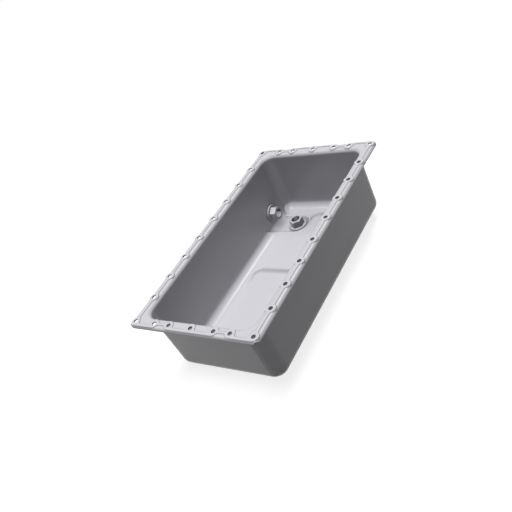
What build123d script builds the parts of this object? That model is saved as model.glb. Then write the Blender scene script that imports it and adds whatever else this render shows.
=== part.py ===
from build123d import *
import math
import os

# An engine oil pan pressed from sheet steel, with two welded drain bosses and their plugs.
# Millimetres. The origin is the middle of the bolt pattern, in the plane of the gasket
# face. +Z points up at the engine block and Y runs along the pan.

# Sheet
SHEET = 2.5

# Bolt pattern of the flange
BOLT_SPAN_X = 283.0
BOLT_SPAN_Y = 535.0
BOLT_HOLE_R = 4.5
SIDE_BOLT_FIRST = 31.0
SIDE_BOLT_PITCH = 57.8
SIDE_BOLTS_EACH_WAY = 4
END_BOLT_INNER = 54.0
END_BOLT_OUTER = 91.4

# Flange section, with its sealing land standing proud of the sheet around it
LAND_STEP = 0.6
LAND_DRAFT = 20.2
LAND_BLEND_R = 5.0
PAD_R = 10.0
SIDE_STRIP_W = 6.4
END_STRIP_W = 4.8
END_BORDER_W = 5.0
LIP_DEPTH = 6.8
SIDE_ROLL_R = 8.4
END_ROLL_R = 6.5
MOUTH_ROLL_R = 10.0

# Tub, inside sizes at the gasket plane
MOUTH_HALF_X = 126.9
MOUTH_HALF_Y = 253.0
DEPTH = 150.5
CORNER_R = 25.3
FLOOR_R = 22.2
SIDE_DRAFT = 0.8
NEAR_DRAFT = 1.95
FAR_DRAFT = 0.25

# Ramps pressed up into the floor, each with a rounded step at its far end
RAMP_RISE = 8.0
RAMP_HALF_STEP = 15.0
RAMP_CORNER_R = 19.0
RAMP_TAIL = 33.0
RAMP_TAIL_SINK = 0.3
RAMP_RIGHT_X = 92.5
MIDDLE_RAMP_LEFT_X = -92.5
MIDDLE_RAMP_FAR_Y = 24.0
FAR_RAMP_LEFT_X = -33.0
FAR_RAMP_FAR_Y = 214.7

# Pocket pressed down around the floor drain and open to the side wall
POCKET_DROP = 6.0
POCKET_HALF_W = 26.7
POCKET_HALF_STEP = 5.8
POCKET_RIM = 1.0

# Drain bosses
BOSS_Y = 186.7
FLOOR_BOSS_X = -66.5
SIDE_BOSS_RISE = 32.5
BOSS_HEIGHT = 19.5
BOSS_FLANGE_R = 20.8
BOSS_FLANGE_T = 3.5
BOSS_FLANGE_CHAMFER = 1.2
BOSS_HEX_AF = 29.1
BOSS_HEX_CHAMFER = 1.6
BOSS_BORE_R = 9.19
BOSS_BORE_CHAMFER = 0.6
BOSS_SEAT_CLEARANCE = 0.2
SPIGOT_R = 12.5
SPIGOT_CLEARANCE = 0.1

# Drain plugs and their sealing rings
RING_R = 13.0
RING_T = 1.5
RING_CLEARANCE = 0.15
COLLAR_R = 13.5
COLLAR_T = 4.0
COLLAR_CHAMFER = 0.8
THREAD_CREST_R = 10.0
THREAD_LENGTH = 10.0
THREAD_CLEARANCE = 0.09
THREAD_TIP_CHAMFER = 1.0
SOCKET_AF = 10.0
SOCKET_DEPTH = 7.5

# Small overlap that makes tangent forms cross instead of only touching
BITE = 0.05


def drift(angle, depth):
    """How far a wall with this draft moves in over a depth."""
    return math.tan(math.radians(angle)) * depth


# The land's side meets the lip's lower edge, so this is the reach from a bolt line to the edge
EDGE_REACH = PAD_R + drift(LAND_DRAFT, LIP_DEPTH)
# How far the land's outline moves in, seen from above, when its face moves in by the sheet
LAND_INSET = SHEET * math.tan(math.radians(45 - LAND_DRAFT / 2))
# The flange is built this deep before what lies under it is cut away
BLANK_DEPTH = 2 * (LAND_STEP + MOUTH_ROLL_R)


def bolt_places():
    """Centres of all the bolt holes in the flange."""
    half_x = BOLT_SPAN_X / 2
    half_y = BOLT_SPAN_Y / 2
    places = []
    for index in range(SIDE_BOLTS_EACH_WAY):
        along = SIDE_BOLT_FIRST + index * SIDE_BOLT_PITCH
        places += [(sx * half_x, sy * along) for sx in (-1, 1) for sy in (-1, 1)]
    for across in (END_BOLT_INNER, END_BOLT_OUTER, half_x):
        places += [(sx * across, sy * half_y) for sx in (-1, 1) for sy in (-1, 1)]
    places += [(0, -half_y), (0, half_y)]
    return places


def land_plan(inset):
    """The sealing land seen from above: round pads joined by strips, drawn in by inset."""
    half_x = BOLT_SPAN_X / 2
    half_y = BOLT_SPAN_Y / 2
    border_y = half_y + PAD_R - END_BORDER_W / 2
    corner_gap = half_x - END_BOLT_OUTER
    strip_gap = END_BOLT_OUTER - END_BOLT_INNER
    forms = [Pos(x, y) * Circle(PAD_R - inset) for x, y in bolt_places()]
    for sx in (-1, 1):
        side = Rectangle(SIDE_STRIP_W - 2 * inset, BOLT_SPAN_Y)
        forms.append(Pos(sx * half_x, 0) * side)
    for sy in (-1, 1):
        middle = Rectangle(2 * END_BOLT_INNER, END_BORDER_W - 2 * inset)
        forms.append(Pos(0, sy * border_y) * middle)
        for sx in (-1, 1):
            strip = Rectangle(strip_gap, END_STRIP_W - 2 * inset)
            forms.append(Pos(sx * (END_BOLT_INNER + strip_gap / 2), sy * half_y) * strip)
            corner = Rectangle(corner_gap, END_BORDER_W - 2 * inset)
            forms.append(Pos(sx * (END_BOLT_OUTER + corner_gap / 2), sy * border_y) * corner)
    plan = Sketch() + forms
    # The border runs tangent into the pads at its outer line; every other vertex is a notch
    tangent_y = half_y + PAD_R - inset
    notches = [v for v in plan.vertices() if abs(abs(v.Y) - tangent_y) > BITE]
    return fillet(notches, LAND_BLEND_R + inset)


def land(inset, top):
    """The land as a solid with drafted sides, from its top down to the lip's lower edge."""
    plan = Pos(0, 0, top) * land_plan(inset)
    return extrude(plan, amount=LIP_DEPTH + top, dir=(0, 0, -1), taper=-LAND_DRAFT)


def crossed(side, end):
    """The solid left where a side profile drawn across X meets an end profile drawn across Y."""
    through_y = extrude(Plane.XZ * side, amount=BOLT_SPAN_Y, both=True)
    through_x = extrude(Plane.YZ * end, amount=BOLT_SPAN_Y, both=True)
    return through_y & through_x


def flange_blank(inset, top):
    """The flange's outline as a deep block with its outer edges rolled over."""
    half_x = BOLT_SPAN_X / 2 + EDGE_REACH - inset
    half_y = BOLT_SPAN_Y / 2 + EDGE_REACH - inset
    middle = top - BLANK_DEPTH / 2
    side = Pos(0, middle) * Rectangle(2 * half_x, BLANK_DEPTH)
    side = fillet(side.vertices().sort_by(Axis.Y)[-2:], SIDE_ROLL_R - inset)
    end = Pos(0, middle) * Rectangle(2 * half_y, BLANK_DEPTH)
    end = fillet(end.vertices().sort_by(Axis.Y)[-2:], END_ROLL_R - inset)
    plan = RectangleRounded(2 * half_x, 2 * half_y, EDGE_REACH - inset)
    return crossed(side, end) & Pos(0, 0, top) * extrude(plan, amount=-BLANK_DEPTH)


def tub(depth, grow):
    """The plain drafted tub as a solid, its walls and floor moved out by grow."""
    half_x = MOUTH_HALF_X + grow
    half_y = MOUTH_HALF_Y + grow
    fall = depth + grow
    low_x = half_x - drift(SIDE_DRAFT, fall)
    low_near = half_y - drift(NEAR_DRAFT, fall)
    low_far = half_y - drift(FAR_DRAFT, fall)
    side = Polyline((-half_x, 0), (half_x, 0), (low_x, -fall), (-low_x, -fall), close=True)
    end = Polyline((-half_y, 0), (half_y, 0), (low_far, -fall), (-low_near, -fall), close=True)
    body = crossed(make_face(side), make_face(end))
    corners = [e for e in body.edges() if e.bounding_box().size.Z > fall / 2]
    body = fillet(corners, CORNER_R + grow)
    return fillet(body.faces().sort_by(Axis.Z)[0].edges(), FLOOR_R + grow)


def step_curve(start, rise, half_step, grow=0.0):
    """Two tangent arcs that climb a pressed step from start, over twice half_step.

    The sheet's outer face is grow further from the tub, where the lower arc is wider
    and the upper arc tighter by that much.
    """
    lean = 2 * math.atan2(rise, 2 * half_step)
    radius = half_step / math.sin(lean)
    end = (start[0] + 2 * half_step, start[1] + rise)

    def lower(angle):
        reach = radius + grow
        return (start[0] + reach * math.sin(angle), start[1] + radius - reach * math.cos(angle))

    def upper(angle):
        reach = radius - grow
        return (end[0] - reach * math.sin(angle), end[1] - radius + reach * math.cos(angle))

    first = ThreePointArc(lower(0), lower(lean / 2), lower(lean))
    second = ThreePointArc(upper(lean), upper(lean / 2), upper(0))
    return [first, second], lower(0), upper(0)


def ramp_section(left, right, low, top):
    """A ramp cut across: a step up on the left, the flat top, and a step down on the right."""
    base = low - FLOOR_R
    arcs, foot, crest = step_curve((left - RAMP_HALF_STEP, low), top - low, RAMP_HALF_STEP)
    middle = (left + right) / 2
    other = [mirror(arc, Plane.YZ.offset(middle)) for arc in arcs]
    far_crest = (2 * middle - crest[0], crest[1])
    far_foot = (2 * middle - foot[0], foot[1])
    flat = Line(crest, far_crest)
    under = Polyline(far_foot, (far_foot[0], base), (foot[0], base), foot)
    return make_face(Curve() + arcs + other + [flat, under])


def ramp(left, right, far):
    """What a ramp takes from the tub: a flat crest with rounded far corners and a long tail."""
    low = -DEPTH - BITE
    top = -DEPTH + RAMP_RISE
    base = low - FLOOR_R
    crest_y = far - RAMP_CORNER_R
    foot_r = RAMP_CORNER_R + RAMP_HALF_STEP
    arcs, foot, crest = step_curve((-foot_r, low), top - low, RAMP_HALF_STEP)
    rest = Polyline(crest, (0, top), (0, base), (-foot_r, base), foot)
    side = make_face(Curve() + arcs + [rest])

    corner = revolve(Plane.XZ * side, Axis.Z, 90)
    left_x = left + RAMP_CORNER_R
    right_x = right - RAMP_CORNER_R
    solid = Pos(left_x, crest_y) * Rot(0, 0, -90) * corner
    solid += Pos(right_x, crest_y) * Rot(0, 0, 180) * corner
    end_plane = Plane(origin=(right_x, crest_y, 0), x_dir=(0, -1, 0), z_dir=(-1, 0, 0))
    solid += extrude(end_plane * side, amount=right_x - left_x)

    start_plane = Plane(origin=(0, crest_y, 0), x_dir=(1, 0, 0), z_dir=(0, -1, 0))
    high_end = start_plane * ramp_section(left, right, low, top)
    sunk = low - RAMP_TAIL_SINK
    low_end = start_plane.offset(RAMP_TAIL) * ramp_section(left, right, sunk, low)
    return solid + loft([high_end, low_end], ruled=True)


def pocket(grow):
    """The drain pocket as a solid: a round end and an arm that runs out through the wall."""
    low = -DEPTH - POCKET_DROP - BITE
    rise = POCKET_DROP + 2 * BITE
    keep = FLOOR_R + POCKET_DROP
    start = (POCKET_HALF_W - POCKET_HALF_STEP, low)
    arcs, foot, crest = step_curve(start, rise, POCKET_HALF_STEP, grow)
    rim = crest[0] + POCKET_RIM + grow * (math.sqrt(2) - 1)
    high = crest[1] + keep
    rest = Polyline(crest, (rim, crest[1]), (rim + keep, high), (0, high), (0, foot[1]), foot)
    half = make_face(Curve() + arcs + [rest])
    reach = MOUTH_HALF_X + FLOOR_BOSS_X + FLOOR_R
    arm = extrude(Plane.YZ * half, amount=-reach)
    form = revolve(Plane.XZ * half, Axis.Z, 360) + arm + mirror(arm, Plane.XZ)
    form = Pos(FLOOR_BOSS_X, BOSS_Y) * form
    return form & tub(DEPTH + POCKET_DROP, grow)


def hollow(grow):
    """The tub with its ramps and pocket, as the space inside or the outer skin."""
    body = tub(DEPTH, grow)
    body -= Pos(0, 0, -grow) * ramp(MIDDLE_RAMP_LEFT_X, RAMP_RIGHT_X, MIDDLE_RAMP_FAR_Y)
    body -= Pos(0, 0, -grow) * ramp(FAR_RAMP_LEFT_X, RAMP_RIGHT_X, FAR_RAMP_FAR_Y)
    return body + pocket(grow)


def mouth_edges(body, height, grow):
    """Edges of the tub's mouth at a height, in a body whose tub is moved out by grow."""
    limit = MOUTH_HALF_X + grow + BITE
    return [
        e for e in body.edges().filter_by_position(Axis.Z, height - BITE, height + BITE)
        if max(abs(e.bounding_box().min.X), abs(e.bounding_box().max.X)) < limit
    ]


def lip_void():
    """The space under the flange, between the tub's wall and the turned-down lip."""
    top = -LAND_STEP - SHEET
    space = flange_blank(SHEET, top) - tub(DEPTH, SHEET)
    space = fillet(mouth_edges(space, top, SHEET), MOUTH_ROLL_R - SHEET)
    return space + land(LAND_INSET, -SHEET)


def below_lip():
    """What is trimmed away below the lip, outside the space under the flange."""
    half_x = BOLT_SPAN_X / 2 + EDGE_REACH
    half_y = BOLT_SPAN_Y / 2 + EDGE_REACH
    kept_x = half_x - 2 * SHEET
    kept_y = half_y - 2 * SHEET
    ring = Rectangle(2 * half_x + SHEET, 2 * half_y + SHEET)
    ring -= RectangleRounded(2 * kept_x, 2 * kept_y, EDGE_REACH - 2 * SHEET)
    return Pos(0, 0, -LIP_DEPTH) * extrude(ring, amount=-BLANK_DEPTH)


def floor_seat():
    """Where the floor boss stands: on the pocket's floor, pointing up."""
    return Plane(origin=(FLOOR_BOSS_X, BOSS_Y, -DEPTH - POCKET_DROP), z_dir=(0, 0, 1))


def side_seat():
    """Where the side boss stands: low on the drafted wall's inner face, square to it."""
    depth = DEPTH - SIDE_BOSS_RISE
    wall_x = -MOUTH_HALF_X + drift(SIDE_DRAFT, depth)
    lean = math.radians(SIDE_DRAFT)
    square = (math.cos(lean), 0, math.sin(lean))
    return Plane(origin=(wall_x, BOSS_Y, -depth), x_dir=(0, 1, 0), z_dir=square)


def turned(radius, low, high):
    """A plain cylinder on the local axis from low to high."""
    return Pos(0, 0, low) * Cylinder(radius, high - low, align=(Align.CENTER, Align.CENTER, Align.MIN))


def pan_shell():
    """The pressed shell: tub, rolled mouth, flange with its land, lip, and all holes."""
    inside = hollow(0)
    skin = split(hollow(SHEET), Plane.XY.offset(-LIP_DEPTH), keep=Keep.BOTTOM)
    body = flange_blank(0, -LAND_STEP) + skin - inside
    body = fillet(mouth_edges(body, -LAND_STEP, 0), MOUTH_ROLL_R)
    body += land(0, 0)
    body -= lip_void()
    body -= below_lip()
    for x, y in bolt_places():
        body -= Pos(x, y) * turned(BOLT_HOLE_R, -LIP_DEPTH, LIP_DEPTH)
    for seat in (floor_seat(), side_seat()):
        body -= seat * turned(SPIGOT_R + SPIGOT_CLEARANCE, -2 * SHEET, SHEET)
        body -= seat * turned(BOSS_FLANGE_R + BOSS_SEAT_CLEARANCE, 0, BOSS_FLANGE_T)
    return body


def drain_boss():
    """A hexagon boss on a round flange, with a spigot that fills the hole in the sheet."""
    flange = turned(BOSS_FLANGE_R, 0, BOSS_FLANGE_T)
    flange = chamfer(flange.edges().sort_by(Axis.Z)[-1], BOSS_FLANGE_CHAMFER)
    hexagon = RegularPolygon(BOSS_HEX_AF / 2, 6, major_radius=False, rotation=30)
    corner_r = BOSS_HEX_AF / 2 / math.cos(math.radians(30))
    crown = turned(corner_r, 0, BOSS_HEIGHT)
    crown_edge = crown.edges().sort_by(Axis.Z)[-1]
    crown = chamfer(crown_edge, BOSS_HEX_CHAMFER, corner_r - BOSS_HEX_AF / 2)
    body = flange + (extrude(hexagon, amount=BOSS_HEIGHT) & crown)
    body += turned(SPIGOT_R, -SHEET, BOSS_FLANGE_T)
    body -= turned(BOSS_BORE_R, -SHEET, BOSS_HEIGHT)
    rims = body.edges().filter_by(GeomType.CIRCLE)
    rims = [e for e in rims if abs(e.radius - BOSS_BORE_R) < BITE]
    return chamfer(rims, BOSS_BORE_CHAMFER)


def sealing_ring():
    """The flat ring between a plug's collar and the outside of the pan, slipped over the thread."""
    body = turned(RING_R, -SHEET - RING_T, -SHEET)
    return body - turned(THREAD_CREST_R + RING_CLEARANCE, -SHEET - RING_T, -SHEET)


def drain_plug():
    """A collared plug with a hexagon socket, screwed in from outside."""
    seat = -SHEET - RING_T
    outside = seat - COLLAR_T
    collar = turned(COLLAR_R, outside, seat)
    collar = chamfer(collar.edges().sort_by(Axis.Z)[0], COLLAR_CHAMFER)
    thread = turned(BOSS_BORE_R - THREAD_CLEARANCE, outside, seat + THREAD_LENGTH)
    thread = chamfer(thread.edges().sort_by(Axis.Z)[-1], THREAD_TIP_CHAMFER)
    socket = RegularPolygon(SOCKET_AF / 2, 6, major_radius=False)
    return collar + thread - Pos(0, 0, outside) * extrude(socket, amount=SOCKET_DEPTH)


os.makedirs("parts", exist_ok=True)
export_step(pan_shell(), "parts/pan_shell.step")
for name, seat in (("floor", floor_seat()), ("side", side_seat())):
    export_step(seat * drain_boss(), f"parts/{name}_drain_boss.step")
    export_step(seat * sealing_ring(), f"parts/{name}_sealing_ring.step")
    export_step(seat * drain_plug(), f"parts/{name}_drain_plug.step")
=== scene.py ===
# %% [markdown]
# Engine oil pan. The pan closes the engine from below: a deep tub pressed from one sheet of
# steel, a bolted flange with a raised sealing land round its mouth, and two drain bosses.
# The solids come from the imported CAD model, which is loaded first as a fixed frame. Blender
# gives them their finish and the fine detail that a solid model leaves out, such as threads.

# %% Load the frame
import math

import bpy
import numpy as np
from mathutils import Matrix, Vector


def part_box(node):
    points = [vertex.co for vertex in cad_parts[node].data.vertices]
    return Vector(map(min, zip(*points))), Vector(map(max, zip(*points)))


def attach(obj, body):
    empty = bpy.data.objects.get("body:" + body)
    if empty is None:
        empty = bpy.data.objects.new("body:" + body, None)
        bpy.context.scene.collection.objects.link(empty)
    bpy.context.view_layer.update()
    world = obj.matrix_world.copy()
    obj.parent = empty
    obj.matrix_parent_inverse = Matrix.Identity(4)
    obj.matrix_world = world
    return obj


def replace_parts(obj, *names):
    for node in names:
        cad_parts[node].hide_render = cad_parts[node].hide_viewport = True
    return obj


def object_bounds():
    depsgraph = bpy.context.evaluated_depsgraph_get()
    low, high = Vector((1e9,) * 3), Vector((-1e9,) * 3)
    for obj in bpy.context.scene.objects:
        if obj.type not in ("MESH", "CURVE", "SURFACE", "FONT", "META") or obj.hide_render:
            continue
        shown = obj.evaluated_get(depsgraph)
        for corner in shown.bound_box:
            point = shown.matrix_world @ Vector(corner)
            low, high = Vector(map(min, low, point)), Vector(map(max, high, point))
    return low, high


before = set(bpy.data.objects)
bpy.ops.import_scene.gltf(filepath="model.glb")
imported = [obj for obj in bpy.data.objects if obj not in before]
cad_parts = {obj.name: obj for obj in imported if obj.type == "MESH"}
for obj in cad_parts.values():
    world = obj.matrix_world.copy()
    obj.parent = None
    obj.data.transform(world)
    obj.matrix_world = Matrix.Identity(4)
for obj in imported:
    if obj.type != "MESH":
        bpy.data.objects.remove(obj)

cad_low, cad_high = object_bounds()
print("CAD box in mm:", [round(1000 * side, 1) for side in cad_high - cad_low])

# %% [markdown]
# The camera stands in front of the pan's right-hand corner and looks down into the tub, rolled
# so that the long side runs up the picture. A camera can be turned by hand until it fits. Here
# its place came from the bolt holes, whose pattern is known, so it is given as a place, a
# heading, an elevation and a roll, and the turn is worked out from these.

# %% Camera
CAMERA_PLACE = Vector((0.76736, -0.75543, 0.66949))
CAMERA_HEADING = math.radians(137.17)
CAMERA_ELEVATION = math.radians(-34.0)
CAMERA_ROLL = math.radians(-29.09)
CAMERA_LENS_MM = 44.386
SENSOR_MM = 36.0


def camera_turn(heading, elevation, roll):
    """The camera's axes as a matrix. It looks along heading and elevation, and then rolls."""
    level = math.cos(elevation)
    ahead = Vector((level * math.cos(heading), level * math.sin(heading), math.sin(elevation)))
    side = ahead.cross(Vector((0, 0, 1))).normalized()
    above = side.cross(ahead)
    right = side * math.cos(roll) + above * math.sin(roll)
    return Matrix((right, right.cross(ahead), -ahead)).transposed()


camera = bpy.data.objects.new("camera", bpy.data.cameras.new("camera"))
bpy.context.scene.collection.objects.link(camera)
camera.data.lens = CAMERA_LENS_MM
camera.data.sensor_width = SENSOR_MM
camera.location = CAMERA_PLACE
camera.rotation_euler = camera_turn(CAMERA_HEADING, CAMERA_ELEVATION, CAMERA_ROLL).to_euler()
bpy.context.scene.camera = camera
print("camera is", round((CAMERA_PLACE - (cad_low + cad_high) / 2).length, 3), "m from the pan's middle")

# %% [markdown]
# Every finish below is a small program of shader nodes. Wiring nodes by hand hides the formula,
# so one class wraps a node's output and lets Python's operators add the Math nodes: 1 - mask
# becomes a Subtract node. The finish class adds any other node from its type, its settings
# and its inputs, in that order.


# %% Shader arithmetic
# A Mix node keeps its number, vector and colour sockets in one list, and this is the colour's
COLOUR_OUTPUT = 2


class Flow:
    """A value that flows out of a node and can be added, subtracted or multiplied."""

    def __init__(self, finish, socket):
        self.finish = finish
        self.socket = socket

    def _with(self, operation, first, second):
        """A Math node that does one operation on two inputs."""
        return self.finish.node("ShaderNodeMath", {"operation": operation}, {0: first, 1: second})

    def __add__(self, other):
        return self._with("ADD", self, other)

    def __radd__(self, other):
        return self._with("ADD", other, self)

    def __sub__(self, other):
        return self._with("SUBTRACT", self, other)

    def __rsub__(self, other):
        return self._with("SUBTRACT", other, self)

    def __mul__(self, other):
        return self._with("MULTIPLY", self, other)

    def __rmul__(self, other):
        return self._with("MULTIPLY", other, self)

    def clamped(self):
        """The same value held between 0 and 1."""
        settings = {"operation": "ADD", "use_clamp": True}
        return self.finish.node("ShaderNodeMath", settings, {0: self, 1: 0.0})


class Finish:
    """One material or the world, built up node by node."""

    def __init__(self, owner):
        owner.use_nodes = True
        self.owner = owner
        self.tree = owner.node_tree
        self.tree.nodes.clear()

    def node(self, kind, settings=None, inputs=None, output=0):
        """Adds a node of a kind, sets its settings, then feeds its inputs; returns one output."""
        made = self.tree.nodes.new(kind)
        for name, value in (settings or {}).items():
            setattr(made, name, value)
        for name, value in (inputs or {}).items():
            if isinstance(value, Flow):
                self.tree.links.new(value.socket, made.inputs[name])
            else:
                made.inputs[name].default_value = value
        return Flow(self, made.outputs[output]) if len(made.outputs) else None

    def grain(self, place, scale, detail=2.0):
        """Soft noise from 0 to 1 whose spots are about one metre over scale across."""
        inputs = {"Vector": place, "Scale": scale, "Detail": detail}
        return self.node("ShaderNodeTexNoise", {}, inputs)

    def dot(self, first, second):
        """The dot product of two vectors, as a number."""
        settings = {"operation": "DOT_PRODUCT"}
        return self.node("ShaderNodeVectorMath", settings, {0: first, 1: second}, "Value")

    def blend(self, mask, first, second):
        """A colour that goes from first to second as mask goes from 0 to 1."""
        settings = {"data_type": "RGBA"}
        inputs = {"Factor": mask, "A": first, "B": second}
        return self.node("ShaderNodeMix", settings, inputs, COLOUR_OUTPUT)


print("shader arithmetic ready")

# %% [markdown]
# The shell and its bosses carry one coat of satin grey paint. On top of it, shade is painted
# into the colour: on the bosses and on the shell below its mouth, what stands steeply or leans
# away from a light direction above the near right corner, such as the walls, the flats of the
# bosses and the far side of each ramp, is painted darker; so are the outer bend of the flange
# and its turned-down lip. The walls of the bolt holes are painted near black, as painted shade.
# Such places could be painted by hand on the mesh, but masks follow the shape by themselves:
# which way a face looks is the dot product of its normal with a direction, and where it lies
# comes from its coordinates.

# %% Where shade is painted into the coat
# The light direction for the painted shade: faces turned away from it are painted darker
SHADE_LIGHT_FROM = (0.35, -0.40, 0.85)

# A limit is the cosine at which a mask begins, and a span is how much further it takes to fill
SHADE_LIGHT_LIMIT = 0.85
SHADE_LIGHT_SPAN = 0.30
STEEP_LIMIT = 0.45
STEEP_SPAN = 0.35
HOLE_LIMIT = 0.225
HOLE_SPAN = 0.1125
LIP_LIMIT = 0.6
LIP_SPAN = 0.45
UP_LIMIT = 0.3
UP_SPAN = 0.2

# Depths below the gasket face and distances over which a mask fades, in metres
INWARD_REACH = 0.03
MOUTH_TOP = 0.004
MOUTH_BLUR = 0.006
HOLE_DEPTH = 0.0035
HOLE_BLUR = 0.0003
LIP_TOP = 0.0008
LIP_FOOT = 0.016
LIP_BLUR = 0.002


def above(value, limit, span):
    """0 where a value is under its limit, rising to 1 at one span over it."""
    return ((value - limit) * (1 / span)).clamped()


def painted_shade_masks(finish, place, within_tub):
    """Three masks: 1 where shade is painted in, where a punched hole is painted dark, and below the
    mouth.

    Shade is painted where normal and light direction agree little, or where the normal lies nearly
    level. On the shell that holds below the mouth only, for faces that look up or inwards.
    Inwards is the negative dot product of normal and place, both seen from above. The bends
    between the land and the lip's foot get painted shade by their slope alone.
    """
    facing = finish.node("ShaderNodeTexCoord", {}, {}, "Normal")
    up = finish.dot(facing, (0, 0, 1))
    level = 1 - finish.node("ShaderNodeMath", {"operation": "ABSOLUTE"}, {0: up})
    turned_from_light = above(1 - finish.dot(facing, SHADE_LIGHT_FROM), 1 - SHADE_LIGHT_LIMIT, SHADE_LIGHT_SPAN)
    painted_shade = (turned_from_light + above(level, 1 - STEEP_LIMIT, STEEP_SPAN)).clamped()
    if within_tub:
        return painted_shade, None, None
    height = finish.dot(place, (0, 0, 1))
    plan = finish.node("ShaderNodeVectorMath", {"operation": "MULTIPLY"}, {0: place, 1: (1, 1, 0)})
    inwards = (finish.dot(facing, plan) * (-1 / INWARD_REACH)).clamped()
    inner = (inwards + above(up, UP_LIMIT, UP_SPAN)).clamped()
    hole_shade = above(level, 1 - HOLE_LIMIT, HOLE_SPAN) * above(height, -HOLE_DEPTH, HOLE_BLUR)
    below = above(-1 * height, MOUTH_TOP, MOUTH_BLUR)
    bend = above(level, 1 - LIP_LIMIT, LIP_SPAN) * above(-1 * height, LIP_TOP, LIP_BLUR)
    lip = bend * above(height, -LIP_FOOT, LIP_BLUR)
    return (painted_shade * inner * below + lip).clamped(), hole_shade, below


# Prints the light direction from which the painted shade is worked out
print("the spray comes from", SHADE_LIGHT_FROM)

# %% [markdown]
# Paint over pressed steel is never flat: it has a fine orange peel, it lies a little thicker
# here and thinner there, and the sheet below was stretched down the walls by the press. So the
# colour drifts by a few hundredths, the gloss by a little more, and two layers of noise bump
# the surface. Where the masks above are set, a darker tone is painted in as shade. The level
# boss gets a paler painted shade than the upright one, and both bosses were machined and come
# out a touch glossier than the sheet. In tight creases, such as the foot of the sealing land
# or the line where a boss meets the sheet, the colour is painted darker as shade: an Ambient
# Occlusion node with a reach of a few millimetres finds them, across pieces too. Down in the
# tub this painted shade is weaker.

# %% Paint
PAINT_SHADE = (0.640, 0.634, 0.676, 1.0)
PAINT_LIGHT = (0.672, 0.665, 0.708, 1.0)
# A dark tone painted into tight creases as shade
PAINTED_CREASE_SHADE = (0.220, 0.217, 0.235, 1.0)
# Darker tones painted in as shade, on the pan and on each boss
PAN_PAINTED_SHADE = (0.385, 0.382, 0.398, 1.0)
BOSS_PAINTED_SHADE = {"floor": (0.240, 0.238, 0.250, 1.0), "side": (0.345, 0.342, 0.356, 1.0)}
# Near black painted in as shade on the walls of the bolt holes
HOLE_PAINTED_SHADE = (0.050, 0.050, 0.052, 1.0)
PAINT_ROUGHNESS = 0.24
BOSS_ROUGHNESS = 0.22
PAINT_IOR = 1.42
CREASE_REACH = 0.006
BOSS_CREASE_REACH = 0.002
CREASE_GAIN = 4.0
CREASE_SAMPLES = 16
TUB_CREASE = 0.70
CLOUD_SCALE = 11.0
CLOUD_DETAIL = 3.0
CLOUD_GLOSS = 0.07
PEEL_SCALE = 620.0
PEEL_HEIGHT = 0.00003
PEEL_STRENGTH = 0.5
DRAW_SCALE = (260.0, 260.0, 9.0)
DRAW_HEIGHT = 0.00001
DRAW_STRENGTH = 0.35
DRAW_GLOSS = 0.04
GLOSS_DROP = 0.05


def satin_paint(name, shade_colour, within_tub, roughness, crease_reach):
    """A satin coat whose colour and gloss drift, with orange peel, faint draw marks and painted shade.
    """
    finish = Finish(bpy.data.materials.new(name))
    place = finish.node("ShaderNodeTexCoord", {}, {}, "Object")
    cloud = finish.grain(place, CLOUD_SCALE, CLOUD_DETAIL)
    colour = finish.blend(cloud, PAINT_SHADE, PAINT_LIGHT)
    painted_shade, hole_shade, below = painted_shade_masks(finish, place, within_tub)
    # Painted shade: a darker colour where the shade mask is set
    colour = finish.blend(painted_shade, colour, shade_colour)
    if hole_shade:
        # The walls of the punched holes are painted near black as painted shade
        colour = finish.blend(hole_shade, colour, HOLE_PAINTED_SHADE)
    # Painted shade: the colour darkens where Ambient Occlusion finds a tight crease, less so down in the
    # tub
    reach = {"samples": CREASE_SAMPLES, "only_local": False}
    open_share = finish.node("ShaderNodeAmbientOcclusion", reach, {"Distance": crease_reach}, "AO")
    crease_shade = (CREASE_GAIN * (1 - open_share)).clamped()
    if below:
        crease_shade = crease_shade * (1 - (1 - TUB_CREASE) * below)
    colour = finish.blend(crease_shade, colour, PAINTED_CREASE_SHADE)
    stretched = finish.node("ShaderNodeMapping", {}, {"Vector": place, "Scale": DRAW_SCALE})
    drawn = finish.grain(stretched, 1.0)
    peel = finish.grain(place, PEEL_SCALE)
    gloss = roughness - GLOSS_DROP + CLOUD_GLOSS * cloud + DRAW_GLOSS * drawn
    inputs = {"Strength": DRAW_STRENGTH, "Distance": DRAW_HEIGHT, "Height": drawn}
    low = finish.node("ShaderNodeBump", {}, inputs)
    inputs = {"Strength": PEEL_STRENGTH, "Distance": PEEL_HEIGHT, "Height": peel, "Normal": low}
    bump = finish.node("ShaderNodeBump", {}, inputs)
    inputs = {"Base Color": colour, "Roughness": gloss, "Normal": bump, "IOR": PAINT_IOR}
    surface = finish.node("ShaderNodeBsdfPrincipled", {}, inputs)
    finish.node("ShaderNodeOutputMaterial", {}, {"Surface": surface})
    return finish.owner


pan_paint = satin_paint("pan_paint", PAN_PAINTED_SHADE, False, PAINT_ROUGHNESS, CREASE_REACH)
boss_paint = {
    side: satin_paint(f"{side}_boss_paint", painted_shade, True, BOSS_ROUGHNESS, BOSS_CREASE_REACH)
    for side, painted_shade in BOSS_PAINTED_SHADE.items()
}
print("paints:", pan_paint.name, *(paint.name for paint in boss_paint.values()))

# %% [markdown]
# Inside the bosses the thread was capped while they were painted, and is bare steel with fine
# marks from the tap; its colour is kept far darker than steel, as painted shade in the bores. The
# plugs are zinc plated and the sealing rings are soft copper. All three are metals: what
# differs is their colour, how rough they are, and the scale of the marks on them. In the level
# bore, faces that look up are painted pale and lose their metal gleam, as painted light.

# %% Metals
# The bore steel is kept far darker than real steel, as painted shade inside the bores
SHADED_BORE_STEEL = ((0.10, 0.10, 0.105, 1.0), (0.16, 0.16, 0.165, 1.0))
ZINC = ((0.36, 0.37, 0.39, 1.0), (0.54, 0.55, 0.56, 1.0))
COPPER = ((0.62, 0.33, 0.20, 1.0), (0.80, 0.47, 0.31, 1.0))
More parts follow.
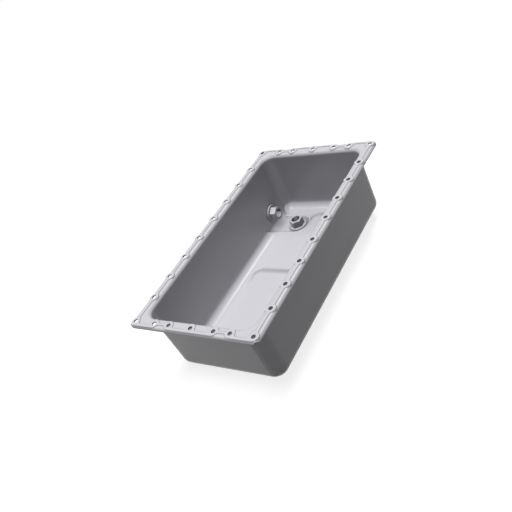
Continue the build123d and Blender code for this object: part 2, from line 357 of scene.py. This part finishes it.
# A pale tone painted as light on the upward faces of the level bore
BORE_PAINTED_LIGHT = (0.700, 0.695, 0.730, 1.0)
BORE_LIGHT_LIMIT = 0.05
BORE_LIGHT_SPAN = 0.3
SPOT_MARKS = 6
SPOT_DETAIL = 4.0
MARK_GLOSS = 0.12
MARK_HEIGHT = 0.00001
MARK_STRENGTH = 0.5
METALS = {
    "cut_steel": {"colours": SHADED_BORE_STEEL, "roughness": 0.46, "mark_scale": 1400.0},
    # Bore steel with painted light on its upward faces
    "bore_steel_painted_light": {"colours": SHADED_BORE_STEEL, "roughness": 0.46, "mark_scale": 1400.0, "painted_light_below": True},
    "zinc_plate": {"colours": ZINC, "roughness": 0.36, "mark_scale": 900.0},
    "soft_copper": {"colours": COPPER, "roughness": 0.32, "mark_scale": 1100.0},
}


def bare_metal(name, colours, roughness, mark_scale, painted_light_below=False):
    """A metal whose colour follows spots some marks wide, and whose gloss and bump follow marks.

    Where it is asked for, faces that look up are painted pale as painted light and lose their metal
    gleam.
    """
    finish = Finish(bpy.data.materials.new(name))
    place = finish.node("ShaderNodeTexCoord", {}, {}, "Object")
    spots = finish.grain(place, mark_scale / SPOT_MARKS, SPOT_DETAIL)
    marks = finish.grain(place, mark_scale)
    colour = finish.blend(spots, *colours)
    gloss = roughness - MARK_GLOSS / 2 + MARK_GLOSS * marks
    inputs = {"Strength": MARK_STRENGTH, "Distance": MARK_HEIGHT, "Height": marks}
    bump = finish.node("ShaderNodeBump", {}, inputs)
    metal = 1.0
    if painted_light_below:
        # Painted light: upward faces in the bore are painted pale and made less metallic
        facing = finish.node("ShaderNodeTexCoord", {}, {}, "Normal")
        painted_light = above(finish.dot(facing, (0, 0, 1)), BORE_LIGHT_LIMIT, BORE_LIGHT_SPAN)
        colour = finish.blend(painted_light, colour, BORE_PAINTED_LIGHT)
        metal = 1 - painted_light
    inputs = {"Base Color": colour, "Roughness": gloss, "Normal": bump, "Metallic": metal}
    surface = finish.node("ShaderNodeBsdfPrincipled", {}, inputs)
    finish.node("ShaderNodeOutputMaterial", {}, {"Surface": surface})
    return finish.owner


metals = {name: bare_metal(name, **look) for name, look in METALS.items()}
print("metals:", *metals)

# %% [markdown]
# A mesh is three lists: the points, the corners of the faces, and where each face starts. They
# could be filled one vertex at a time, but foreach_set takes whole arrays at once. Faces that
# share a place share a vertex, and a face that has closed up to a line is left out.


# %% Mesh from arrays
MERGE_STEP = 1e-6
SHARP_FOLD = math.radians(30.0)


def mesh_piece(name, points, faces, materials, kinds=None):
    """A shown object at the origin from points and faces, with equal points made one.

    The points are rounded to a fine grid and the equal ones share a number. A face whose corners
    are no longer all different loses the repeated corner, or goes if under three are left.
    Where a piece has two materials, kinds holds a material number for each face.
    """
    keys = np.round(points / MERGE_STEP).astype(np.int64)
    _, first, number = np.unique(keys, axis=0, return_index=True, return_inverse=True)
    corners = number.reshape(-1)[faces]
    fresh = corners != np.roll(corners, 1, axis=1)
    sizes = fresh.sum(axis=1)
    kept = sizes >= 3
    fresh &= kept[:, None]
    sizes = sizes[kept]
    mesh = bpy.data.meshes.new(name)
    mesh.vertices.add(len(first))
    mesh.vertices.foreach_set("co", points[first].astype(np.float32).ravel())
    mesh.loops.add(int(sizes.sum()))
    mesh.loops.foreach_set("vertex_index", corners[fresh].astype(np.int32))
    mesh.polygons.add(len(sizes))
    starts = np.cumsum(sizes) - sizes
    mesh.polygons.foreach_set("loop_start", starts.astype(np.int32))
    if kinds is not None:
        mesh.polygons.foreach_set("material_index", kinds[kept].astype(np.int32))
    mesh.update(calc_edges=True)
    mesh.validate()
    mesh.shade_smooth()
    mesh.set_sharp_from_angle(angle=SHARP_FOLD)
    for material in materials:
        mesh.materials.append(material)
    made = bpy.data.objects.new(name, mesh)
    bpy.context.scene.collection.objects.link(made)
    print(name, len(mesh.vertices), "points,", len(mesh.polygons), "faces")
    return made


# %% [markdown]
# The shell is the one piece whose form is all in the CAD solid, from the ramps in its floor to
# the land on its flange, so it gets a finish and no new form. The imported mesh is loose
# triangles, each with its own three corners, and shades as facets, so a copy with shared
# corners stands for it. Edges that turn by less than a sharp fold are smoothed, and the
# Weighted Normal modifier lets the large flat faces decide the shading next to a bend.

# %% Shell
def merged_copy(node, name, material):
    """A copy of a CAD node with its loose triangles joined into one smooth skin."""
    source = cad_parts[node].data
    points = np.empty(3 * len(source.vertices), np.float32)
    source.vertices.foreach_get("co", points)
    corners = np.empty(len(source.loops), np.int32)
    source.loops.foreach_get("vertex_index", corners)
    made = mesh_piece(name, points.reshape(-1, 3), corners.reshape(-1, 3), [material])
    made.modifiers.new("flat faces lead", "WEIGHTED_NORMAL").keep_sharp = True
    return made


shell = merged_copy("pan_shell", "pressed_shell", pan_paint)
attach(shell, "root")
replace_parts(shell, "pan_shell")

# %% [markdown]
# The bosses, plugs and rings were turned on a lathe. A lathe part is a profile that goes round an
# axis, so it is a surface of two parameters: which point of the profile, and which angle. The
# profile here may change with the angle, and that gives the hexagons and the threads without
# any cutting. Each piece is made in millimetres about its own axis and then set on its seat.


# %% Turned surfaces
MM = 0.001
TURN = 2 * math.pi
TURN_STEPS = 144
HEX_SIDES = 6
CORNER_SPREAD = math.radians(1.4)
CORNER_STEPS = np.array((-1, -0.5, 0.5, 1))
THREAD_FLAT = 0.13


def turn_angles():
    """Even angles round a full turn, with four more close to each corner of a hexagon."""
    even = np.arange(TURN_STEPS) * TURN / TURN_STEPS
    corners = (np.arange(HEX_SIDES) + 0.5) * TURN / HEX_SIDES
    extra = (corners[:, None] + CORNER_STEPS * CORNER_SPREAD).ravel()
    return np.unique(np.round(np.concatenate((even, extra)) % TURN, 9))


def hexagon_reach(angle, across_flats, corner_r):
    """Distance from the axis to a hexagon with rounded corners, at each angle.

    Along a flat it is half the width divided by the cosine of the angle from the flat's middle.
    Near a corner it is the far crossing of that ray with a circle of the corner's radius, whose
    centre lies on the line to the corner, where the circle touches both flats.
    """
    half = across_flats / 2
    sector = TURN / HEX_SIDES
    off_flat = (angle + sector / 2) % sector - sector / 2
    flat = half / np.cos(off_flat)
    centre = (half - corner_r) / math.cos(sector / 2)
    touch = math.atan2(centre * math.sin(sector / 2), half)
    off_corner = sector / 2 - np.abs(off_flat)
    across = np.minimum(np.abs(centre * np.sin(off_corner)), corner_r)
    rounded = centre * np.cos(off_corner) + np.sqrt(corner_r**2 - across**2)
    return np.where(np.abs(off_flat) > touch, rounded, flat)


def thread_depth(angle, height, pitch):
    """How deep a thread groove is, from 0 on the crest to 1 at the root.

    The groove is a triangle wave of the height less one pitch for each turn, cut off a little
    at both ends, so that crest and root are narrow flats.
    """
    phase = (height / pitch - angle / TURN) % 1.0
    wave = 1 - np.abs(2 * phase - 1)
    return np.clip((wave - THREAD_FLAT) / (1 - 2 * THREAD_FLAT), 0, 1)


def turned_piece(name, seat, angles, rows, materials, kinds, closed):
    """A piece whose rows are pairs of radius and height, each a number or an array over angles.

    A point is the seat's origin, plus the radius times the cosine and sine of its angle along
    the seat's two side axes, plus the height along its main axis. A closed profile joins its
    last row to its first; an open one starts and ends on the axis. Kinds holds a material
    number for each band between two rows.
    """
    radius = np.array([np.broadcast_to(row[0], angles.shape) for row in rows])
    height = np.array([np.broadcast_to(row[1], angles.shape) for row in rows])
    local = np.stack((radius * np.cos(angles), radius * np.sin(angles), height), axis=-1)
    origin, axes = seat
    points = (local.reshape(-1, 3) * MM) @ axes + origin
    grid = np.arange(len(rows) * len(angles)).reshape(len(rows), len(angles))
    if closed:
        grid = np.vstack((grid, grid[:1]))
    grid = np.hstack((grid, grid[:, :1]))
    faces = np.stack((grid[:-1, :-1], grid[:-1, 1:], grid[1:, 1:], grid[1:, :-1]), axis=-1)
    kinds = np.repeat(np.array(kinds), faces.shape[1])
    made = mesh_piece(name, points, faces.reshape(-1, 4), materials, kinds)
    made.modifiers.new("flat faces lead", "WEIGHTED_NORMAL").keep_sharp = True
    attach(made, "root")
    return made


print("a turned piece has", len(turn_angles()), "points round its axis")

# %% [markdown]
# Each boss stands on the sheet's inner face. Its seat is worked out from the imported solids: the
# floor boss points up, and the side boss points into the tub, square to a wall that leans
# a little because the press needs draft to let go of it.

# %% Seats
# Sizes of turned pieces are in millimetres, and heights count from the sheet's inner face
SHEET = 2.5
BOSS_HEIGHT = 19.5
WALL_DRAFT = math.radians(0.8)


def seat_of(node, axes):
    """Where a boss meets the sheet: the middle of its box, brought down its axis."""
    low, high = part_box(node)
    middle = np.array((low + high) / 2)
    return middle - axes[2] * (BOSS_HEIGHT - SHEET) / 2 * MM, axes


lean, rise = math.cos(WALL_DRAFT), math.sin(WALL_DRAFT)
upright = np.eye(3)
sideways = np.array(((0, 1, 0), (-rise, 0, lean), (lean, 0, rise)))
seats = {"floor": seat_of("floor_drain_boss", upright), "side": seat_of("side_drain_boss", sideways)}
for side, (origin, axes) in seats.items():
    print(side, "seat in mm:", np.round(origin / MM, 2))

# %% [markdown]
# A boss is a hexagon on a round flange with a spigot that fills the hole in the sheet. On the
# real part it is turned from round bar, and its six flats are milled. It could be joined from a
# disc, a prism and a thread, but their seams would show. Here one profile runs up the outside,
# over the chamfered crown and down the threaded bore, and closes on itself.

# %% Bosses
FLANGE_R = 20.8
FLANGE_T = 3.5
FLANGE_CHAMFER = 1.2
BOSS_AF = 29.1
BOSS_CORNER_R = 0.5
BOSS_CROWN_DROP = 1.6
BOSS_CROWN_STEP = 0.3
BOSS_FOOT_R = 0.4
BOSS_FOOT_BEND = 0.12
SPIGOT_R = 12.5
MINOR_R = 9.19
MAJOR_R = 10.0
PITCH = 1.5
LEAD_IN = 0.9
ROWS_PER_PITCH = 10
EDGE_R = 0.25
EDGE_STEPS = 3


def arc_corner(before, corner, after, radius):
    """A corner of a profile cut short on both legs by the radius and rounded between them.

    The points follow a parabola drawn by the two cut ends, with the corner as its handle.
    """
    before, corner, after = (np.array(point, float) for point in (before, corner, after))
    start = corner + (before - corner) / np.linalg.norm(before - corner) * radius
    end = corner + (after - corner) / np.linalg.norm(after - corner) * radius
    share = np.linspace(0, 1, EDGE_STEPS + 1)[:, None]
    return (1 - share) ** 2 * start + 2 * share * (1 - share) * corner + share**2 * end


def soft_profile(points, radius):
    """Rows of a profile whose inner corners are all rounded and whose two ends stay sharp."""
    rows = [np.array([points[0]], float)]
    for index in range(1, len(points) - 1):
        rows.append(arc_corner(points[index - 1], points[index], points[index + 1], radius))
    rows.append(np.array([points[-1]], float))
    return [tuple(row) for row in np.concatenate(rows)]


def bore_rows(angles, high, low):
    """Rows down a threaded bore, from the chamfer at its top to the one at its foot."""
    count = round((high - low) / PITCH * ROWS_PER_PITCH)
    heights = np.linspace(high, low, count + 1)
    rows = []
    for height in heights:
        cut = thread_depth(angles, height, PITCH) * (MAJOR_R - MINOR_R)
        flare = LEAD_IN - min(high - height, height - low)
        rows.append((MINOR_R + np.maximum(cut, flare), height))
    return rows


def drain_boss(name, seat, finishes):
    """A hexagon boss as one closed turned surface, painted outside and bare in the bore.

    The crown falls from the flats to the corners by a cone, so its shoulder follows the reach.
    """
    angles = turn_angles()
    outline = [(MINOR_R + LEAD_IN, -SHEET), (SPIGOT_R, -SHEET), (SPIGOT_R, 0), (FLANGE_R, 0)]
    outline += [(FLANGE_R, FLANGE_T - FLANGE_CHAMFER), (FLANGE_R - FLANGE_CHAMFER, FLANGE_T)]
    outline.append((BOSS_AF / 2, FLANGE_T))
    rows = soft_profile(outline, EDGE_R)[:-1]
    reach = hexagon_reach(angles, BOSS_AF, BOSS_CORNER_R)
    corner_reach = BOSS_AF / 2 / math.cos(TURN / HEX_SIDES / 2)
    slope = BOSS_CROWN_DROP / (corner_reach - BOSS_AF / 2)
    beyond = reach - BOSS_AF / 2
    shoulder = BOSS_HEIGHT - beyond * slope
    rows.append((reach + BOSS_FOOT_R, FLANGE_T))
    rows.append((reach + BOSS_FOOT_BEND, FLANGE_T + BOSS_FOOT_BEND))
    rows.append((reach, FLANGE_T + BOSS_FOOT_R))
    rows.append((reach, shoulder - EDGE_R))
    rows.append((reach - beyond * BOSS_CROWN_STEP, shoulder + beyond * slope * BOSS_CROWN_STEP))
    rows.append((BOSS_AF / 2, BOSS_HEIGHT))
    rows.append((BOSS_AF / 2 - EDGE_R, BOSS_HEIGHT))
    rows.append((MINOR_R + LEAD_IN + EDGE_R, BOSS_HEIGHT))
    painted = len(rows)
    rows += bore_rows(angles, BOSS_HEIGHT, -SHEET)
    kinds = [0] * (painted - 1) + [1] * (len(rows) - painted + 1)
    boss = turned_piece(name, seat, angles, rows, finishes, kinds, True)
    return boss


BORE_FINISH = {"floor": metals["cut_steel"], "side": metals["bore_steel_painted_light"]}
for side, seat in seats.items():
    boss = drain_boss(f"{side}_hexagon_boss", seat, [boss_paint[side], BORE_FINISH[side]])
    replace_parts(boss, f"{side}_drain_boss")

# %% [markdown]
# A plug closes each boss from outside. Its thread follows the same wave as the bore's, a little
# smaller, so crest lies in groove all the way round. The head is a round collar with a hexagon
# socket. The profile starts on the axis at the socket's floor and ends on the axis at the tip.

# %% Plugs and sealing rings
RING_R = 13.0
RING_T = 1.5
RING_CLEARANCE = 0.15
COLLAR_R = 13.5
COLLAR_T = 4.0
COLLAR_CHAMFER = 0.8
THREAD_LENGTH = 10.0
THREAD_PLAY = 0.09
TIP_CHAMFER = 1.0
SOCKET_AF = 10.0
SOCKET_DEPTH = 7.5
SOCKET_CORNER_R = 0.3
SOCKET_CHAMFER = 0.3
SOCKET_FLOOR_RING = 1.4


def drain_plug(name, seat):
    """A collared plug with a hexagon socket and a thread that runs in the boss's own.

    The thread fades in above the sealing ring and tapers off over the chamfer of the tip.
    """
    angles = turn_angles()
    under = -SHEET - RING_T
    head = under - COLLAR_T
    floor = head + SOCKET_DEPTH
    reach = hexagon_reach(angles, SOCKET_AF, SOCKET_CORNER_R)
    rim = SOCKET_AF / 2 / math.cos(TURN / HEX_SIDES / 2) + SOCKET_CHAMFER
    rows = [(0, floor), (SOCKET_AF / 2 - SOCKET_FLOOR_RING, floor), (reach, floor)]
    rows += [(reach, head + (rim - reach)), (rim, head)]
    outline = [(rim, head), (COLLAR_R - COLLAR_CHAMFER, head), (COLLAR_R, head + COLLAR_CHAMFER)]
    outline += [(COLLAR_R, under), (MINOR_R - THREAD_PLAY, under)]
    rows += soft_profile(outline, EDGE_R)[1:]
    tip = under + THREAD_LENGTH
    count = round(THREAD_LENGTH / PITCH * ROWS_PER_PITCH)
    for height in np.linspace(under, tip, count + 1):
        cut = thread_depth(angles, height, PITCH) * (MAJOR_R - MINOR_R)
        fade = min(1.0, max(0.0, height - under - RING_T) / PITCH)
        taper = max(0.0, height - tip + TIP_CHAMFER)
        rows.append((MINOR_R - THREAD_PLAY + cut * fade * (1 - taper) - taper, height))
    rows.append((0, tip))
    plug = turned_piece(name, seat, angles, rows, [metals["zinc_plate"]], [0] * (len(rows) - 1), False)
    return plug


def sealing_ring(name, seat):
    """A flat copper ring with rounded edges, squeezed between collar and sheet."""
    angles = turn_angles()
    inner = MAJOR_R + RING_CLEARANCE
    low, high = -SHEET - RING_T, -SHEET
    middle = (inner + RING_R) / 2
    outline = [(middle, low), (RING_R, low), (RING_R, high), (inner, high), (inner, low), (middle, low)]
    rows = soft_profile(outline, EDGE_R)[:-1]
    ring = turned_piece(name, seat, angles, rows, [metals["soft_copper"]], [0] * len(rows), True)
    return ring


for side, seat in seats.items():
    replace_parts(drain_plug(f"{side}_plug", seat), f"{side}_drain_plug")
    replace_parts(sealing_ring(f"{side}_ring", seat), f"{side}_sealing_ring")

# %% [markdown]
# The floor is a plain pale sheet that the pan stands on. A floor lit like the pan would come out
# grey in the picture, so the camera also sees it glow a little, which brings it up to white and
# still leaves the soft shadow. Only the camera, mirrors and glass see that glow. Other rays
# meet a darker floor, because a white one would light the pan's sides from below.

# %% Floor
FLOOR_REACH = 6.0
FLOOR_SEEN = (0.80, 0.80, 0.80, 1.0)
FLOOR_GLOW = 0.40
FLOOR_UNSEEN = (0.05, 0.05, 0.05, 1.0)


def seen_directly(finish):
    """1 for rays from the camera, a mirror or glass, and 0 for the rays that carry soft light."""
    path = "ShaderNodeLightPath"
    camera_ray = finish.node(path, {}, {}, "Is Camera Ray")
    glossy_ray = finish.node(path, {}, {}, "Is Glossy Ray")
    glass_ray = finish.node(path, {}, {}, "Is Transmission Ray")
    return (camera_ray + glossy_ray + glass_ray).clamped()


def floor_finish():
    """The pale floor: a matt sheet with a glow for the camera, and a dimmer sheet for the rest."""
    finish = Finish(bpy.data.materials.new("pale_floor"))
    sheet = finish.node("ShaderNodeBsdfDiffuse", {}, {"Color": FLOOR_SEEN})
    glow = finish.node("ShaderNodeEmission", {}, {"Strength": FLOOR_GLOW})
    seen = finish.node("ShaderNodeAddShader", {}, {0: sheet, 1: glow})
    unseen = finish.node("ShaderNodeBsdfDiffuse", {}, {"Color": FLOOR_UNSEEN})
    inputs = {0: seen_directly(finish), 1: unseen, 2: seen}
    surface = finish.node("ShaderNodeMixShader", {}, inputs)
    finish.node("ShaderNodeOutputMaterial", {}, {"Surface": surface})
    return finish.owner


edge = FLOOR_REACH * np.array(((-1, -1), (1, -1), (1, 1), (-1, 1)))
level = np.full((4, 1), cad_low.z)
floor = mesh_piece("floor", np.hstack((edge, level)), np.array([[0, 1, 2, 3]]), [floor_finish()])

# %% [markdown]
# The light is that of a plain studio: two broad soft lamps almost overhead do most of the work, a
# weaker one from behind the pan and another from its left put a sheen on the bends, and the
# world adds a little from everywhere. Sun lamps keep the same strength at every distance, so
# the flange and the floor of the tub come out alike, and a wide angle makes their shadows soft.
# One of the two overhead and the one on the left cast no shadow: they stand for the walls of a
# white room, which fill the inside of a deep tub from all sides.

# %% Lights
LAMPS = {
    "overhead": {"toward": (0.03, -0.07, 0.99), "strength": 0.85, "spread": 28.0, "shadow": True},
    "fill": {"toward": (0.03, -0.07, 0.99), "strength": 1.25, "spread": 34.0, "shadow": False},
    "behind": {"toward": (0.02, 0.56, 0.83), "strength": 0.65, "spread": 14.0, "shadow": True},
    "left": {"toward": (-0.60, 0.00, 0.80), "strength": 0.40, "spread": 16.0, "shadow": False},
}
WORLD_LIGHT = 0.05

for name, lamp in LAMPS.items():
    sun = bpy.data.objects.new(name, bpy.data.lights.new(name, "SUN"))
    sun.data.energy = lamp["strength"]
    sun.data.angle = math.radians(lamp["spread"])
    sun.data.use_shadow = lamp["shadow"]
    sun.rotation_euler = Vector(lamp["toward"]).to_track_quat("Z", "Y").to_euler()
    bpy.context.scene.collection.objects.link(sun)
    print("lamp", name, "at", lamp["strength"])

world = bpy.data.worlds.new("studio")
bpy.context.scene.world = world
sky = Finish(world)
share = seen_directly(sky)
strength = WORLD_LIGHT + (1 - WORLD_LIGHT) * share
light = sky.node("ShaderNodeBackground", {}, {"Color": (1, 1, 1, 1), "Strength": strength})
sky.node("ShaderNodeOutputWorld", {}, {"Surface": light})

# %% [markdown]
# The picture uses the Standard view, which shows a colour as it is written.

# %% Close
bpy.context.scene.view_settings.view_transform = "Standard"
